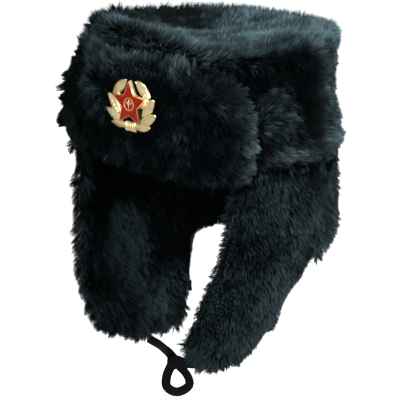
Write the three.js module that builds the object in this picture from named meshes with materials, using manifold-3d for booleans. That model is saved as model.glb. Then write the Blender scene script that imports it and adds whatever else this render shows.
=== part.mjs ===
// An ushanka: a fur hat with an upturned front flap, hanging ear and neck flaps, a pinned badge
// and a ribbon tied under the chin. Millimetres, +Z up. The front faces -Y and the wearer's left
// is +X. The origin is the head seat, at the inside of the cap's top.
import * as THREE from "three";
import { mergeVertices } from "three/addons/utils/BufferGeometryUtils.js";
import Module from "manifold-3d";

const wasm = await Module();
wasm.setup();

// Driving dimensions
const HEAD = { across: 84, along: 100 }; // half axes of the head hollow, a 58 cm head
const CAP_THICK = 3.5; // quilted cap
const GAP = 0.3; // between pieces that touch
const SIDES = 32; // facets round the crown
const BAND_COLUMNS = 44; // facets along the ear and neck flaps
const PILE = { across: 16.5, along: 18.5 }; // fur beyond the cap, to the tips
const FLAP_THICK = 22; // ear and neck flaps, from tip to tip of the pile on both faces
const SPLIT_TURN = 137; // where the ear flaps meet the neck flap, degrees from the front
const FRONT_EDGE_TURN = 47; // where the ear flaps' front edges leave the crown

// The crown round the head, one row for each turn from the front towards the wearer's left:
// crest is the rim roll's height, hem the lower edge, and rim, waist and skirt the fur's extra
// reach at the roll, half-way down and at the hem.
const CROWN_ROWS = [
  { turn: -160, crest: 28, hem: -78, rim: 0, waist: 0, skirt: 1 },
  { turn: -110, crest: 34, hem: -76, rim: -8, waist: 0, skirt: 1 },
  { turn: -70, crest: 38, hem: -70, rim: -14, waist: -4, skirt: 0 },
  { turn: -35, crest: 42, hem: -60, rim: -10, waist: -5, skirt: -3 },
  { turn: -10, crest: 43, hem: -56, rim: -3, waist: -5, skirt: -3 },
  { turn: 12, crest: 37, hem: -60, rim: 0, waist: -5, skirt: -3 },
  { turn: 38, crest: 23, hem: -70, rim: 0, waist: -6, skirt: -2 },
  { turn: 62, crest: 25, hem: -73, rim: 0, waist: -8, skirt: 2 },
  { turn: 80, crest: 27, hem: -75, rim: 0, waist: -8, skirt: 3 },
  { turn: 95, crest: 26, hem: -77, rim: 1, waist: -3, skirt: 2 },
  { turn: 125, crest: 24, hem: -79, rim: 3, waist: -5, skirt: 2 },
  { turn: 165, crest: 24, hem: -79, rim: 1, waist: -2, skirt: 1 },
];
const PANEL_HEIGHT = 15; // fur tips at the middle of the sunken top panel
const DENT = { x: -38, y: 40, radius: 34, depth: 9 }; // the dent behind the front of the rim
const CAP_BELOW_CREST = 17; // the cap's own rim under the fur's crest
// The cap from the middle of its top to the hem: wide is the share of its half axes, climb the
// share of the rise to its rim, drop how far under that, and fall the share of the wall's height.
const CAP_PROFILE = [
  { wide: 0.04, climb: 0, drop: 0, fall: 0 },
  { wide: 0.5, climb: 0.35, drop: 1.4, fall: 0 },
  { wide: 0.82, climb: 1, drop: 3, fall: 0 },
  { wide: 0.93, climb: 1, drop: 0, fall: 0 },
  { wide: 1, climb: 1, drop: 9, fall: 0 },
  { wide: 1, climb: 1, drop: 9, fall: 0.5 },
  { wide: 1, climb: 1, drop: 9, fall: 1 },
];
const HEM_DROP = 20; // a cut through the hem runs on this far below it

// The ear and neck flaps hang from the hem as one band. Each row gives the lower edge of the
// column that starts at that turn, and how far the column bows outwards.
const BAND_ROWS = [
  { turn: -47, x: -73, y: -82, z: -184, bow: 3 },
  { turn: -52, x: -71, y: -82, z: -212, bow: 3 },
  { turn: -60, x: -67, y: -73, z: -234, bow: 4 },
  { turn: -72, x: -61, y: -51, z: -248, bow: 5 },
  { turn: -86, x: -57, y: -18, z: -259, bow: 7 },
  { turn: -100, x: -53, y: 14, z: -264, bow: 7 },
  { turn: -112, x: -46, y: 42, z: -260, bow: 6 },
  { turn: -122, x: -50, y: 56, z: -231, bow: 5 },
  { turn: -133, x: -60, y: 70, z: -197, bow: 4 },
  { turn: -150, x: -50, y: 98, z: -187, bow: 3 },
  { turn: 180, x: 0, y: 114, z: -184, bow: 3 },
  { turn: 150, x: 54, y: 102, z: -180, bow: 3 },
  { turn: 134, x: 75, y: 80, z: -175, bow: 3 },
  { turn: 122, x: 70, y: 58, z: -183, bow: 4 },
  { turn: 110, x: 60, y: 33, z: -190, bow: 5 },
  { turn: 98, x: 52, y: 6, z: -217, bow: 6 },
  { turn: 87, x: 49, y: -15, z: -243, bow: 7 },
  { turn: 75, x: 41, y: -41, z: -256, bow: 7 },
  { turn: 63, x: 25, y: -67, z: -253, bow: 6 },
  { turn: 54, x: 13, y: -87, z: -240, bow: 5 },
  { turn: 47, x: 19, y: -91, z: -223, bow: 5 },
];
const BAND_EASE = 1.6; // the columns leave the hem upright and lean in further down
const BAND_OVER_HEM = 3; // the band starts this far above the hem, and the crown is cut out of it
const BAND_DROPS = [0, 0.14, 0.34, 0.54, 0.74, 0.9];
// Shares of the full thickness at the lower edge, and at the front edges with the turns over which
// it grows to full
const BAND_THIN = { lower: 0.72, front: 0.3, begin: -3, full: 7 };

// The front flap, one row for each turn: its lower and upper edge, how far each stands off the
// cap, and how puffy it is.
const FRONT_ROWS = [
  { turn: -49, low: -46, high: -30, lowOut: 28, highOut: 30, puff: 8 },
  { turn: -45, low: -57, high: -14, lowOut: 29, highOut: 27, puff: 15 },
  { turn: -38, low: -65, high: 11, lowOut: 27, highOut: 19, puff: 19 },
  { turn: -28, low: -64, high: 27, lowOut: 27, highOut: 15, puff: 22 },
  { turn: -14, low: -64, high: 33, lowOut: 27, highOut: 15, puff: 24 },
  { turn: 2, low: -67, high: 31, lowOut: 27, highOut: 15, puff: 25 },
  { turn: 18, low: -74, high: 24, lowOut: 27, highOut: 17, puff: 26 },
  { turn: 30, low: -80, high: 16, lowOut: 27, highOut: 19, puff: 25 },
  { turn: 40, low: -82, high: 8, lowOut: 26, highOut: 22, puff: 22 },
  { turn: 47, low: -82, high: -4, lowOut: 27, highOut: 24, puff: 19 },
  { turn: 53, low: -76, high: -30, lowOut: 25, highOut: 24, puff: 9 },
];

const FRONT_BACK = 8; // how far the pad's back face bulges towards the crown
const FRONT_ROUND = 0.6; // how boxy the pad's bulge is: 1 a sine, less fuller at the edges
const FRONT_SHARES = [0.06, 0.2, 0.36, 0.52, 0.68, 0.84, 0.95];
const FRONT_COLUMNS = 18;

// The badge, pinned to the front flap
const BADGE = { turn: 5.6, height: -16.5, yaw: 16.6, across: 54, up: 43, standoff: 29, mound: 16, back: 0.4 };
const PRESSED = 3.5; // the fur is pressed flat this far round the badge
const LEAF_INSET = 4.5; // from the badge's lower edge to the middle of the wreath's knot
const STAR = { radius: 17.5, waist: 0.49, rim: 1, bed: 1.6, lip: 1, enamel: 0.9 };
const MOTIF = { ring: 5, bore: 3.9, relief: 0.7 };
const BRIDGE = { inset: 7, high: 5, thick: 1 };
const WREATH_KNOT = { top: 4, low: 3.4, long: 10, flat: 0.6, up: 2 };
const PIN = { radius: 0.9, length: 12 };

// The tie: flat ribbon from each flap's tip to a knot, and the loop that hangs from it
const RIBBON = { width: 8, thick: 1.2, step: 5 };
const KNOT = { x: 3, y: -63, z: -250, across: 10, deep: 8, high: 11 };
const TIE_TURN = 30; // the ribbon's flat side faces this turn from the front
// The ribbons' routes as steps from the knot: across and out with the flat side, and up
const RIGHT_RIBBON = [
  { across: -25, out: -84, up: -12 },
  { across: -17, out: -66, up: -9 },
  { across: -10, out: -40, up: -3 },
  { across: -4, out: -14, up: 3 },
  { across: 0, out: 0, up: 4 },
];
const LEFT_RIBBON = [
  { across: 26, out: 14, up: 6 },
  { across: 17, out: 10, up: 3 },
  { across: 9, out: 5, up: 2 },
  { across: 0, out: 0, up: 1 },
];
const LOOP_RIBBON = [
  { across: -1, out: 1.5, up: 0 },
  { across: -5.5, out: 2, up: -11 },
  { across: -5.5, out: 1.5, up: -21 },
  { across: 3, out: 0, up: -26.5 },
  { across: 13, out: -1.5, up: -21 },
  { across: 11.5, out: -2, up: -12 },
  { across: 1, out: -1.5, up: 0 },
];

// A lock's shape as shares of its length, width and thickness, and how far locks stray
const LOCK = { root: 0.75, sunk: 0.95, widest: 0.45, tip: 0.1, tipThick: 0.15 };
const STRAY = { place: 0.5, level: 0.06, sway: 0.5, size: 0.15 };
const LOCK_INSIDE_EDGE = 4; // how far a lock's tip keeps inside a flap's edge
const FREE_ROOM = 40; // a lock on the crown or the front flap has this much room
const UP = new THREE.Vector3(0, 0, 1);

function radians(degrees) {
  return (degrees * Math.PI) / 180;
}

function mix(a, b, share) {
  return a + (b - a) * share;
}

function smooth(low, high, value) {
  const t = Math.min(1, Math.max(0, (value - low) / (high - low)));
  return t * t * (3 - 2 * t);
}

// The same random numbers every time
function seededRandom(seed) {
  let state = seed;
  return () => {
    state = (state * 1664525 + 1013904223) % 4294967296;
    return state / 4294967296;
  };
}

// A smooth value of one column of a table at a turn: cubic between rows, and round the whole
// circle if the table is closed
function column(rows, name, position, closed) {
  const sorted = [...rows].sort((a, b) => a.turn - b.turn);
  const count = sorted.length;
  const row = (i) => {
    if (!closed) return sorted[Math.min(count - 1, Math.max(0, i))];
    const lap = Math.floor(i / count);
    const found = sorted[i - lap * count];
    return { ...found, turn: found.turn + 360 * lap };
  };
  let at = closed ? -1 : 0;
  while (row(at + 1).turn < position && (closed || at < count - 2)) at += 1;
  const [a, b, c, d] = [-1, 0, 1, 2].map((step) => row(at + step));
  const share = Math.min(1, Math.max(0, (position - b.turn) / (c.turn - b.turn)));
  const span = c.turn - b.turn;
  const slopeB = (c[name] - a[name]) / (c.turn - a.turn || 1);
  const slopeC = (d[name] - b[name]) / (d.turn - b.turn || 1);
  const s2 = share * share;
  const s3 = s2 * share;
  return (2 * s3 - 3 * s2 + 1) * b[name] + (s3 - 2 * s2 + share) * span * slopeB
    + (3 * s2 - 2 * s3) * c[name] + (s3 - s2) * span * slopeC;
}

function crownValue(name, turn) {
  const wrapped = ((turn + 180) % 360 + 360) % 360 - 180;
  return column(CROWN_ROWS, name, wrapped, true);
}

// A point on an oval round the head, its turn measured from the front
function onOval(turn, across, along, z) {
  const t = radians(turn);
  return new THREE.Vector3(across * Math.sin(t), -along * Math.cos(t), z);
}

function closedGeometry(points, triangles) {
  const geometry = new THREE.BufferGeometry();
  geometry.setAttribute("position", new THREE.Float32BufferAttribute(points.flatMap((p) => p.toArray()), 3));
  geometry.setIndex(triangles);
  return geometry;
}

// A closed body through rings of points, with its two ends closed from their middles
function loft(rings) {
  const count = rings[0].length;
  const points = rings.flat();
  const triangles = [];
  for (let r = 0; r + 1 < rings.length; r += 1) {
    for (let i = 0; i < count; i += 1) {
      const [a, b] = [r * count + i, r * count + ((i + 1) % count)];
      triangles.push(a, b, a + count, b, b + count, a + count);
    }
  }
  const last = (rings.length - 1) * count;
  const middle = (ring) => ring.reduce((sum, p) => sum.add(p), new THREE.Vector3()).divideScalar(ring.length);
  points.push(middle(rings[0]), middle(rings[rings.length - 1]));
  for (let i = 0; i < count; i += 1) {
    const next = (i + 1) % count;
    triangles.push(next, i, points.length - 2, last + i, last + next, points.length - 1);
  }
  return closedGeometry(points, triangles);
}

function toSolid(geometry) {
  const bare = geometry.clone();
  for (const name of ["normal", "uv"]) bare.deleteAttribute(name);
  const merged = mergeVertices(bare, 1e-4);
  const mesh = (index) => new wasm.Mesh({
    numProp: 3,
    vertProperties: new Float32Array(merged.attributes.position.array),
    triVerts: new Uint32Array(index),
  });
  const index = [...merged.index.array];
  const solid = new wasm.Manifold(mesh(index));
  if (solid.volume() > 0) return solid;
  for (let i = 0; i < index.length; i += 3) [index[i], index[i + 1]] = [index[i + 1], index[i]];
  return new wasm.Manifold(mesh(index));
}

function join(solids) {
  return solids.reduce((sum, solid) => sum.add(solid));
}

// The largest body of a solid, without the specks that a cut leaves
function largest(solid) {
  return solid.decompose().reduce((best, part) => (part.volume() > best.volume() ? part : best));
}

function toMesh(name, solid, finish) {
  const { numProp, vertProperties, triVerts } = largest(solid).getMesh();
  const geometry = new THREE.BufferGeometry();
  const positions = new Float32Array((vertProperties.length / numProp) * 3);
  for (let i = 0; i < positions.length / 3; i += 1) {
    for (let k = 0; k < 3; k += 1) positions[3 * i + k] = vertProperties[numProp * i + k];
  }
  geometry.setAttribute("position", new THREE.BufferAttribute(positions, 3));
  geometry.setIndex([...triVerts]);
  geometry.computeVertexNormals();
  const mesh = new THREE.Mesh(geometry, new THREE.MeshStandardMaterial(finish));
  mesh.name = name;
  return mesh;
}

// One lock of fur: a flat tapering tuft of four sides that lies along the pile
function lock(root, normal, comb, { length, width, thick, lift }, grow) {
  const along = comb.clone().addScaledVector(normal, -comb.dot(normal)).normalize();
  const side = new THREE.Vector3().crossVectors(normal, along);
  const ring = (forward, wide, high, rise) => {
    const centre = root.clone().addScaledVector(along, forward).addScaledVector(normal, rise);
    return [
      centre.clone().addScaledVector(side, wide / 2 + grow),
      centre.clone().addScaledVector(normal, high / 2 + grow),
      centre.clone().addScaledVector(side, -wide / 2 - grow),
      centre.clone().addScaledVector(normal, -high / 2 - grow),
    ];
  };
  return toSolid(loft([
    ring(-grow, width * LOCK.root, thick, -thick * LOCK.sunk),
    ring(length * LOCK.widest, width, thick, lift / 2),
    ring(length + grow, width * LOCK.tip, thick * LOCK.tipThick, lift),
  ]));
}

// Locks in rows over a surface. The surface gives a point, its normal and the pile's direction.
function locks(surface, rows, seed, grow = 0) {
  const random = seededRandom(seed);
  const made = [];
  for (const { level, from, to, count, length, width, thick, lift } of rows) {
    for (let i = 0; i < count; i += 1) {
      const place = mix(from, to, (i + 0.5 + STRAY.place * (random() - 0.5)) / count);
      const { point, normal, comb, room } = surface(place, level + STRAY.level * (random() - 0.5));
      const sway = new THREE.Vector3().crossVectors(normal, comb)
        .multiplyScalar(STRAY.sway * (random() - 0.5));
      const size = mix(1 - STRAY.size, 1 + STRAY.size, random());
      made.push(lock(point, normal, comb.clone().add(sway), {
        length: Math.min(length * size, room - LOCK_INSIDE_EDGE),
        width: width * size,
        thick,
        lift,
      }, grow));
    }
  }
  return made;
}

// The quilted cap: its outer surface from the middle of the top down to the hem
function capRow(turn, level, out) {
  const rim = crownValue("crest", turn) - CAP_BELOW_CREST;
  const { wide, climb, drop, fall } = CAP_PROFILE[level];
  const roof = mix(CAP_THICK, rim, climb) - drop + (wide < 1 ? out : 0);
  const [across, along] = [HEAD.across + CAP_THICK + out, HEAD.along + CAP_THICK + out];
  return onOval(turn, across * wide, along * wide, mix(roof, crownValue("hem", turn), fall));
}

function ringOf(makePoint) {
  return Array.from({ length: SIDES }, (_, i) => makePoint(-180 + (360 * i) / SIDES));
}

function lowered(ring, drop) {
  return ring.map((p) => new THREE.Vector3(p.x, p.y, p.z - drop));
}

// The dome inside a surface of the cap, carried on below its hem by the given drop
function capDome(out, drop) {
  const rings = CAP_PROFILE.map((_, level) => ringOf((turn) => capRow(turn, level, out)));
  rings[rings.length - 1] = lowered(rings[rings.length - 1], drop);
  return toSolid(loft(rings));
}

function capSolid() {
  return capDome(0, 0).subtract(capDome(-CAP_THICK, HEM_DROP));
}

// The crown's fur: share 0 is the middle of the top panel, 1 the hem
function furPoint(turn, share, grow = 0) {
  const crest = crownValue("crest", turn);
  const hem = crownValue("hem", turn);
  const [rim, waist, skirt] = ["rim", "waist", "skirt"].map((name) => crownValue(name, turn));
  const rows = [
    { at: 0, wide: 0.02, out: 0, z: PANEL_HEIGHT },
    { at: 0.16, wide: 0.4, out: 0, z: mix(PANEL_HEIGHT, crest, 0.12) },
    { at: 0.28, wide: 0.64, out: 0, z: mix(PANEL_HEIGHT, crest, 0.4) },
    { at: 0.37, wide: 0.8, out: 0, z: crest - 3 },
    { at: 0.43, wide: 0.9, out: rim * 0.6, z: crest },
    { at: 0.5, wide: 0.98, out: rim, z: crest - 5 },
    { at: 0.57, wide: 1, out: rim, z: crest - 15 },
    { at: 0.7, wide: 1, out: waist, z: mix(crest, hem, 0.38) },
    { at: 0.84, wide: 1, out: mix(waist, skirt, 0.6), z: mix(crest, hem, 0.68) },
    { at: 0.95, wide: 1, out: skirt, z: hem + 7 },
    { at: 1, wide: 1, out: skirt - 5, z: hem },
  ];
  let at = 0;
  while (at < rows.length - 2 && rows[at + 1].at < share) at += 1;
  const [a, b] = [rows[at], rows[at + 1]];
  const t = (share - a.at) / (b.at - a.at);
  const wide = mix(a.wide, b.wide, t);
  const out = mix(a.out, b.out, t) + grow;
  const across = (HEAD.across + CAP_THICK + PILE.across) * wide + out;
  const along = (HEAD.along + CAP_THICK + PILE.along) * wide + out;
  const point = onOval(turn, across, along, mix(a.z, b.z, t));
  const away = Math.hypot(point.x - DENT.x, point.y - DENT.y) / DENT.radius;
  if (share < 0.4) point.z += grow - DENT.depth * Math.exp(-away * away);
  return point;
}

const FUR_SHARES = [0, 0.16, 0.28, 0.37, 0.43, 0.5, 0.57, 0.7, 0.84, 0.95, 1];

function crownSurface(turn, share) {
  const point = furPoint(turn, share);
  const down = furPoint(turn, Math.min(1, share + 0.03)).sub(furPoint(turn, share - 0.03));
  const round = furPoint(turn + 3, share).sub(furPoint(turn - 3, share));
  const normal = new THREE.Vector3().crossVectors(down, round).normalize();
  return { point, normal, comb: down.normalize(), room: FREE_ROOM };
}

const CROWN_LOCKS = [
  { level: 0.58, from: 58, to: 300, count: 9, length: 38, width: 19, thick: 5, lift: 0.5 },
  { level: 0.74, from: 64, to: 300, count: 8, length: 38, width: 19, thick: 5, lift: 0.5 },
];
const HEM_LOCKS = [
  { level: 0.87, from: 56, to: 304, count: 11, length: 27, width: 18, thick: 5, lift: -1 },
];

// The crown with its fur and locks, filled inside down to the hem
function crownBody(grow) {
  const outer = FUR_SHARES.map((share) => ringOf((turn) => furPoint(turn, share, grow)));
  outer[outer.length - 1] = lowered(outer[outer.length - 1], grow);
  const tufts = [...locks(crownSurface, CROWN_LOCKS, 7, grow), ...locks(crownSurface, HEM_LOCKS, 8, grow)];
  return join([toSolid(loft(outer)), ...tufts]);
}

// The band of the flaps: a point of its middle surface, drop 0 at the hem and 1 at the lower edge
function bandMiddle(turn, drop) {
  const t = turn < 0 ? turn + 360 : turn;
  const rows = BAND_ROWS.map((row) => ({ ...row, turn: row.turn < 0 ? row.turn + 360 : row.turn }));
  const [x, y, z, bow] = ["x", "y", "z", "bow"].map((name) => column(rows, name, t, false));
  const half = FLAP_THICK / 2;
  const top = onOval(turn, HEAD.across + half, HEAD.along + half, crownValue("hem", turn) + BAND_OVER_HEM);
  const lean = drop ** BAND_EASE;
  const out = onOval(turn, 1, 1, 0).multiplyScalar(bow * Math.sin(Math.PI * drop));
  return new THREE.Vector3(mix(top.x, x, lean), mix(top.y, y, lean), mix(top.z, z, drop)).add(out);
}

function bandNormal(turn, drop) {
  const down = bandMiddle(turn, Math.min(1, drop + 0.04)).sub(bandMiddle(turn, Math.max(0, drop - 0.04)));
  const [low, high] = [Math.max(FRONT_EDGE_TURN, turn - 3), Math.min(360 - FRONT_EDGE_TURN, turn + 3)];
  const round = bandMiddle(high, drop).sub(bandMiddle(low, drop));
  return new THREE.Vector3().crossVectors(down, round).normalize();
}

// Half the band's thickness: full over the face, thin at the lower edge and the front edges
function bandHalf(turn, drop, grow) {
  const fromEnd = Math.min(turn - FRONT_EDGE_TURN, 360 - FRONT_EDGE_TURN - turn);
  const end = mix(BAND_THIN.front, 1, Math.sqrt(smooth(BAND_THIN.begin, BAND_THIN.full, fromEnd)));
  const edge = drop >= BAND_DROPS[BAND_DROPS.length - 1] ? BAND_THIN.lower : 1;
  return (FLAP_THICK / 2) * end * edge + grow;
}

function bandSolid(grow) {
  const rings = [];
  for (let i = 0; i <= BAND_COLUMNS; i += 1) {
    const turn = mix(FRONT_EDGE_TURN, 360 - FRONT_EDGE_TURN, i / BAND_COLUMNS);
    const face = (side) => BAND_DROPS.map((drop) => bandMiddle(turn, drop)
      .addScaledVector(bandNormal(turn, drop), side * bandHalf(turn, drop, grow)));
    rings.push([...face(1), bandMiddle(turn, 1), ...face(-1).reverse()]);
  }
  return toSolid(loft(rings));
}

// A face of the band for locks: side 1 is outwards, -1 inwards
function bandSurface(side) {
  return (turn, drop) => {
    const normal = bandNormal(turn, drop).multiplyScalar(side);
    const point = bandMiddle(turn, drop).addScaledVector(normal, bandHalf(turn, drop, 0));
    const comb = bandMiddle(turn, Math.min(1, drop + 0.05)).sub(bandMiddle(turn, drop - 0.05)).normalize();
    return { point, normal, comb, room: bandMiddle(turn, drop).distanceTo(bandMiddle(turn, 1)) };
  };
}

function flapLocks(from, to, columns) {
  return [0.3, 0.54, 0.78].map((level, i) => ({
    level,
    from: from + (i % 2) * 4,
    to: to - ((i + 1) % 2) * 4,
    count: columns,
    length: 46,
    width: 18,
    thick: 5,
    lift: 1,
  }));
}

// A wedge that opens from the middle of the head, between two turns
function wedge(from, to) {
  const reach = 400; // past every piece
  const turns = Array.from({ length: 5 }, (_, i) => mix(from, to, i / 4));
  const shape = new THREE.Shape([new THREE.Vector2(0, 0), ...turns.map((turn) => {
    const p = onOval(turn, reach, reach, 0);
    return new THREE.Vector2(p.x, p.y);
  })]);
  const geometry = new THREE.ExtrudeGeometry(shape, { depth: reach, bevelEnabled: false });
  geometry.translate(0, 0, -reach);
  return toSolid(geometry);
}

// The front flap: a puffy pad that stands against the crown
function frontFrame(turn) {
  const value = (name) => column(FRONT_ROWS, name, turn, false);
  return ["low", "high", "lowOut", "highOut", "puff"].map(value);
}

function frontPoint(turn, share, side) {
  const [low, high, lowOut, highOut, puff] = frontFrame(turn);
  const round = Math.sin(Math.PI * share) ** FRONT_ROUND;
  const bulge = side > 0 ? puff - FRONT_BACK : -FRONT_BACK;
  const out = mix(lowOut, highOut, share) - FRONT_BACK + bulge * round;
  return onOval(turn, HEAD.across + CAP_THICK + out, HEAD.along + CAP_THICK + out, mix(low, high, share));
}

function frontSolid() {
  const rings = [];
  const [first, last] = [FRONT_ROWS[0].turn, FRONT_ROWS[FRONT_ROWS.length - 1].turn];
  for (let i = 0; i <= FRONT_COLUMNS; i += 1) {
    const turn = mix(first, last, i / FRONT_COLUMNS);
    rings.push([
      frontPoint(turn, 0, 1),
      ...FRONT_SHARES.map((share) => frontPoint(turn, share, 1)),
      frontPoint(turn, 1, 1),
      frontPoint(turn, 0.75, -1),
      frontPoint(turn, 0.25, -1),
    ]);
  }
  return toSolid(loft(rings));
}

function frontSurface(turn, share) {
  const point = frontPoint(turn, share, 1);
  const down = frontPoint(turn, share - 0.04, 1).sub(frontPoint(turn, share + 0.04, 1)).normalize();
  const round = frontPoint(turn + 2, share, 1).sub(frontPoint(turn - 2, share, 1));
  const normal = new THREE.Vector3().crossVectors(down, round).normalize();
  return { point, normal, comb: down, room: FREE_ROOM };
}

const FRONT_LOCKS = [
  { level: 0.36, from: -40, to: 44, count: 7, length: 36, width: 17, thick: 5, lift: -1 },
  { level: 0.6, from: -36, to: 40, count: 6, length: 38, width: 17, thick: 5, lift: 0 },
  { level: 0.84, from: -34, to: 34, count: 6, length: 38, width: 17, thick: 5, lift: 0 },
];

// The badge lies in its own frame: X to the wearer's left, Y up, Z out of the flap
function badgeFrame() {
  const { turn, height, yaw, standoff } = BADGE;
  const out = onOval(turn, HEAD.across + CAP_THICK + standoff, HEAD.along + CAP_THICK + standoff, height);
  const facing = radians(turn - yaw);
  const z = new THREE.Vector3(Math.sin(facing), -Math.cos(facing), 0);
  const x = new THREE.Vector3().crossVectors(UP, z);
  return new THREE.Matrix4().makeBasis(x, UP, z).setPosition(out);
}

function extruded(points, depth, base = 0) {
  const geometry = new THREE.ExtrudeGeometry(new THREE.Shape(points), { depth, bevelEnabled: false });
  return geometry.translate(0, 0, base);
}

function starPoints(radius) {
  return Array.from({ length: 10 }, (_, i) => {
    const r = i % 2 ? radius * STAR.waist : radius;
    const t = Math.PI / 2 + (i * Math.PI) / 5;
    return new THREE.Vector2(r * Math.cos(t), r * Math.sin(t));
  });
}

// A leaf: six-sided spindle with a raised midrib
function leafSolid(x, y, angle, length, width, high) {
  const ring = (share, wide, top) => [
    new THREE.Vector3(share * length, wide, 0),
    new THREE.Vector3(share * length, 0, top),
    new THREE.Vector3(share * length, -wide, 0),
    new THREE.Vector3(share * length, 0, -BADGE.back),
  ];
  const geometry = loft([
    ring(-0.5, width * 0.16, high * 0.4),
    ring(-0.12, width * 0.5, high),
    ring(0.2, width * 0.45, high),
    ring(0.5, width * 0.05, high * 0.3),
  ]);
  geometry.rotateZ(angle).translate(x, y, 0);
  return toSolid(geometry);
}

// The leaves of one side, from the open top down to the knot: a leaf's middle across and up, the
// way its tip points in degrees, and its length, width and height. The second lies further in.
const LEAF_ROWS = [
  { across: 11.6, up: 11.7, tip: 139, length: 17.5, width: 8.4, high: 2.6 },
  { across: 14.2, up: 4.4, tip: 112, length: 10, width: 5, high: 2 },
  { across: 17.3, up: -1.2, tip: 52, length: 17.5, width: 8.6, high: 3.2 },
  { across: 17.2, up: -9.8, tip: 28, length: 17.5, width: 8.2, high: 3.5 },
  { across: 11.9, up: -16, tip: 4, length: 15.5, width: 7, high: 3.6 },
];

function wreathSolids() {
  const made = [];
  for (const side of [-1, 1]) {
    for (const { across, up, tip, length, width, high } of LEAF_ROWS) {
      const way = radians(side > 0 ? tip : 180 - tip);
      made.push(leafSolid(side * across, up, way, length, width, high));
    }
  }
  const knot = new THREE.CylinderGeometry(WREATH_KNOT.top, WREATH_KNOT.low, WREATH_KNOT.long, 8);
  knot.rotateZ(Math.PI / 2).scale(0.9, 1, WREATH_KNOT.flat).translate(0, -BADGE.up / 2 + LEAF_INSET, WREATH_KNOT.up);
  made.push(toSolid(knot));
  return made;
}

// The badge's outline, an oval, grown or shrunk
function badgePlate(grow) {
  return Array.from({ length: 24 }, (_, i) => {
    const t = (i * Math.PI) / 12;
    return new THREE.Vector2((BADGE.across / 2 + grow) * Math.cos(t), (BADGE.up / 2 + grow) * Math.sin(t));
  });
}

function pinGeometry(grow) {
  const pin = new THREE.CylinderGeometry(PIN.radius + grow, PIN.radius + grow, PIN.length + 2 * grow, 10);
  return pin.rotateX(Math.PI / 2).translate(0, 0, -PIN.length / 2);
}

function badgeMetal() {
  const high = STAR.bed + GAP + STAR.enamel + STAR.lip;
  const star = toSolid(extruded(starPoints(STAR.radius), high + BADGE.back, -BADGE.back));
  const bed = toSolid(extruded(starPoints(STAR.radius - STAR.rim), high, STAR.bed));
  const bridge = toSolid(new THREE.BoxGeometry(BADGE.across - 2 * BRIDGE.inset, BRIDGE.high, BRIDGE.thick)
    .translate(0, 0, BRIDGE.thick / 2 - BADGE.back));
  return join([...wreathSolids(), bridge, toSolid(pinGeometry(0)), star]).subtract(bed);
}

function badgeEnamel() {
  return toSolid(extruded(starPoints(STAR.radius - STAR.rim - GAP * 1.6), STAR.enamel, STAR.bed + GAP));
}

// A plain ring with a three-leaved sprig
function badgeMotif() {
  const { ring, bore, relief } = MOTIF;
  const base = STAR.bed + GAP + STAR.enamel + GAP;
  const outline = (points) => points.map(([x, y]) => new THREE.Vector2(x, y));
  const hoop = new THREE.LatheGeometry(
    outline([[bore, 0], [ring, 0], [ring, relief], [bore, relief], [bore, 0]]),
    20,
  ).rotateX(Math.PI / 2);
  const leaf = outline([[-0.25, 0], [0.25, 0], [0.9, 2.2], [0.15, 4.6], [-0.15, 4.6], [-0.9, 2.2]]);
  const leaves = [-0.75, 0, 0.75].map((angle) => extruded(leaf, relief).rotateZ(angle).translate(0, -1.6, 0));
  const stem = new THREE.BoxGeometry(0.9, 4, relief).translate(0, -2.6, relief / 2);
  return join([hoop, stem, ...leaves].map((piece) => toSolid(piece.translate(0, 0, base))));
}

// A flat ribbon along a route: its flat side faces the given way
function ribbon(route, facing) {
  const curve = new THREE.CatmullRomCurve3(route, false, "centripetal");
  const steps = Math.max(6, Math.round(curve.getLength() / RIBBON.step));
  const rings = [];
  for (let i = 0; i <= steps; i += 1) {
    const centre = curve.getPointAt(i / steps);
    const along = curve.getTangentAt(i / steps);
    const side = new THREE.Vector3().crossVectors(along, facing).normalize();
    const out = new THREE.Vector3().crossVectors(side, along).normalize();
    rings.push([[1, 1], [-1, 1], [-1, -1], [1, -1]].map(([a, b]) => centre.clone()
      .addScaledVector(side, (a * RIBBON.width) / 2).addScaledVector(out, (b * RIBBON.thick) / 2)));
  }
  return toSolid(loft(rings));
}

const TIE_FACING = onOval(TIE_TURN, 1, 1, 0);

function tieRoute(rows) {
  const side = new THREE.Vector3().crossVectors(UP, TIE_FACING);
  return rows.map(({ across, out, up }) => new THREE.Vector3(KNOT.x, KNOT.y, KNOT.z + up)
    .addScaledVector(side, across).addScaledVector(TIE_FACING, out));
}

function knotSolid(grow) {
  const knot = new THREE.SphereGeometry(1, 10, 7);
  knot.scale(KNOT.across / 2 + grow, KNOT.deep / 2 + grow, KNOT.high / 2 + grow);
  knot.rotateZ(radians(TIE_TURN)).translate(KNOT.x, KNOT.y, KNOT.z);
  return toSolid(knot);
}

function flapSolid({ from, to, outside, inside, seed }, grow) {
  const cut = wedge(from, to);
  const tufts = [
    ...locks(bandSurface(1), outside, seed, grow),
    ...locks(bandSurface(-1), inside, seed + 1, grow),
  ];
  return join([bandSolid(grow).intersect(cut), ...tufts]).intersect(cut).subtract(crownCut);
}

const SPLIT_HALF = 0.1; // half the slit between two flaps, in degrees
const FLAPS = {
  left: {
    from: 20, to: SPLIT_TURN - SPLIT_HALF, seed: 21,
    outside: flapLocks(52, 134, 3), inside: flapLocks(60, 120, 2).slice(0, 2),
  },
  right: {
    from: SPLIT_HALF - SPLIT_TURN, to: -20, seed: 31,
    outside: flapLocks(228, 308, 3), inside: flapLocks(235, 300, 3),
  },
  neck: {
    from: SPLIT_TURN + SPLIT_HALF, to: 360 - SPLIT_TURN - SPLIT_HALF, seed: 41,
    outside: flapLocks(144, 216, 3).slice(0, 2), inside: [],
  },
};

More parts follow.
